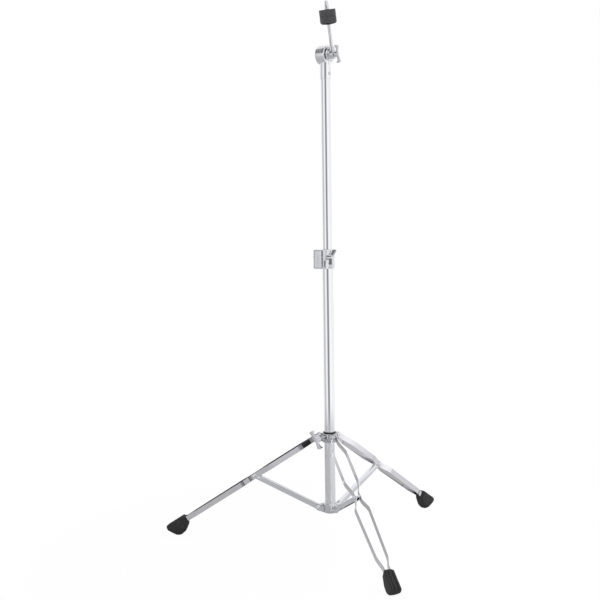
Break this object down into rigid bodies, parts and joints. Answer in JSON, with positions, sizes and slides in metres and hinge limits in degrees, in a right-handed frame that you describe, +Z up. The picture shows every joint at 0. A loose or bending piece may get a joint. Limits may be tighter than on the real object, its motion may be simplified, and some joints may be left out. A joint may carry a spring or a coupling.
{
  "type": "cymbal stand",
  "caption": "Straight floor stand for a cymbal: folding tripod with braced strip legs, clamped telescopic tubes, drum-shaped tilter and a felted rod.",
  "frame": {"origin": "centre of the stand's bounding box at floor level; the tubes' axis stands at x = 0, y = 0.0999", "axes": "+Z up along the tubes, -Y towards the front leg"},
  "size_m": [0.749, 0.649, 1.3162],
  "materials": {
    "chrome": "bright polished plating",
    "black_rubber": "moulded, matt",
    "black_nylon": "moulded, satin",
    "felt": "pressed wool felt"
  },
  "bodies": {
    "base": {"base_tube": "chrome", "strut_hub": "chrome", "front_strut_pin": "chrome", "right_strut_pin": "chrome", "left_strut_pin": "chrome", "height_clamp": "chrome", "clamp_bush": "black_nylon", "clamp_bolt": "chrome"},
    "clamp_nut": {"clamp_wing_nut": "chrome"},
    "collar": {"leg_collar": "chrome", "collar_bush": "black_nylon", "front_leg_pin": "chrome", "right_leg_pin": "chrome", "left_leg_pin": "chrome"},
    "collar_screw": {"collar_wing_screw": "chrome"},
    "front_leg": {"front_leg_left_strip": "chrome", "front_leg_right_strip": "chrome", "front_waist_left_rivet": "chrome", "front_waist_right_rivet": "chrome", "front_rubber_foot": "black_rubber"},
    "right_leg": {"right_leg_left_strip": "chrome", "right_leg_right_strip": "chrome", "right_waist_left_rivet": "chrome", "right_waist_right_rivet": "chrome", "right_rubber_foot": "black_rubber"},
    "left_leg": {"left_leg_left_strip": "chrome", "left_leg_right_strip": "chrome", "left_waist_left_rivet": "chrome", "left_waist_right_rivet": "chrome", "left_rubber_foot": "black_rubber"},
    "front_brace": {"front_strut": "chrome"},
    "right_brace": {"right_strut": "chrome"},
    "left_brace": {"left_strut": "chrome"},
    "guide": {"guide_plug": "black_nylon"},
    "mast": {"upper_tube": "chrome", "tilter_body": "chrome", "neck_screw": "chrome", "tilter_bolt": "chrome"},
    "cymbal_seat": {"tilter_arm": "chrome", "cymbal_rod": "chrome", "seat_washer": "black_nylon", "cymbal_sleeve": "black_nylon", "lower_felt": "felt", "upper_felt": "felt"},
    "tilter_nut": {"tilter_wing_nut": "chrome"},
    "top_nut": {"top_wing_nut": "chrome"}
  },
  "joints": [
    {"name": "collar_slide", "type": "slide", "parent": "base", "child": "collar", "axis": [0, 0, 1], "range_m": [0, 0.192]},
    {"name": "front_leg_hinge", "type": "hinge", "parent": "collar", "child": "front_leg", "pos_m": [0, 0.07391, 0.2694], "axis": [1, 0, 0], "range_deg": [0, 53.76]},
    {"name": "right_leg_hinge", "type": "hinge", "parent": "collar", "child": "right_leg", "pos_m": [0.02252, 0.11291, 0.2694], "axis": [-0.5, 0.866, 0], "range_deg": [0, 53.76]},
    {"name": "left_leg_hinge", "type": "hinge", "parent": "collar", "child": "left_leg", "pos_m": [-0.02252, 0.11291, 0.2694], "axis": [-0.5, -0.866, 0], "range_deg": [0, 53.76]},
    {"name": "front_strut_hinge", "type": "hinge", "parent": "base", "child": "front_brace", "pos_m": [0, 0.07241, 0.08788], "axis": [-1, 0, 0], "range_deg": [0, 62.7]},
    {"name": "right_strut_hinge", "type": "hinge", "parent": "base", "child": "right_brace", "pos_m": [0.02382, 0.11366, 0.08788], "axis": [0.5, -0.866, 0], "range_deg": [0, 62.7]},
    {"name": "left_strut_hinge", "type": "hinge", "parent": "base", "child": "left_brace", "pos_m": [-0.02382, 0.11366, 0.08788], "axis": [0.5, 0.866, 0], "range_deg": [0, 62.7]},
    {"name": "collar_screw_turn", "type": "hinge", "parent": "collar", "child": "collar_screw", "pos_m": [-0.03377, 0.08041, 0.2674], "axis": [-0.866, -0.5, 0], "continuous": true},
    {"name": "clamp_nut_turn", "type": "hinge", "parent": "base", "child": "clamp_nut", "pos_m": [-0.00737, 0.07841, 0.71038], "axis": [0.6782, -0.7349, 0], "continuous": true},
    {"name": "mast_slide", "type": "slide", "parent": "base", "child": "guide", "axis": [0, 0, 1], "range_m": [-0.4, 0.12]},
    {"name": "mast_turn", "type": "hinge", "parent": "guide", "child": "mast", "pos_m": [0, 0.09991, 0.53438], "axis": [0, 0, 1], "continuous": true},
    {"name": "cymbal_tilt", "type": "hinge", "parent": "mast", "child": "cymbal_seat", "pos_m": [0, 0.09991, 1.19138], "axis": [0.5835, -0.8121, 0], "range_deg": [-101, 79]},
    {"name": "tilter_nut_turn", "type": "hinge", "parent": "mast", "child": "tilter_nut", "pos_m": [0.01634, 0.07717, 1.19138], "axis": [0.5835, -0.8121, 0], "continuous": true},
    {"name": "top_nut_turn", "type": "hinge", "parent": "cymbal_seat", "child": "top_nut", "pos_m": [-0.00389, 0.07132, 1.29347], "axis": [-0.1549, -0.1113, 0.9816], "continuous": true}
  ],
  "couplings": [
    {"joint": "front_leg_hinge", "follows": "collar_slide", "rad_per_m": 4.886},
    {"joint": "right_leg_hinge", "follows": "collar_slide", "rad_per_m": 4.886},
    {"joint": "left_leg_hinge", "follows": "collar_slide", "rad_per_m": 4.886},
    {"joint": "front_strut_hinge", "follows": "collar_slide", "rad_per_m": 5.698},
    {"joint": "right_strut_hinge", "follows": "collar_slide", "rad_per_m": 5.698},
    {"joint": "left_strut_hinge", "follows": "collar_slide", "rad_per_m": 5.698}
  ]
}
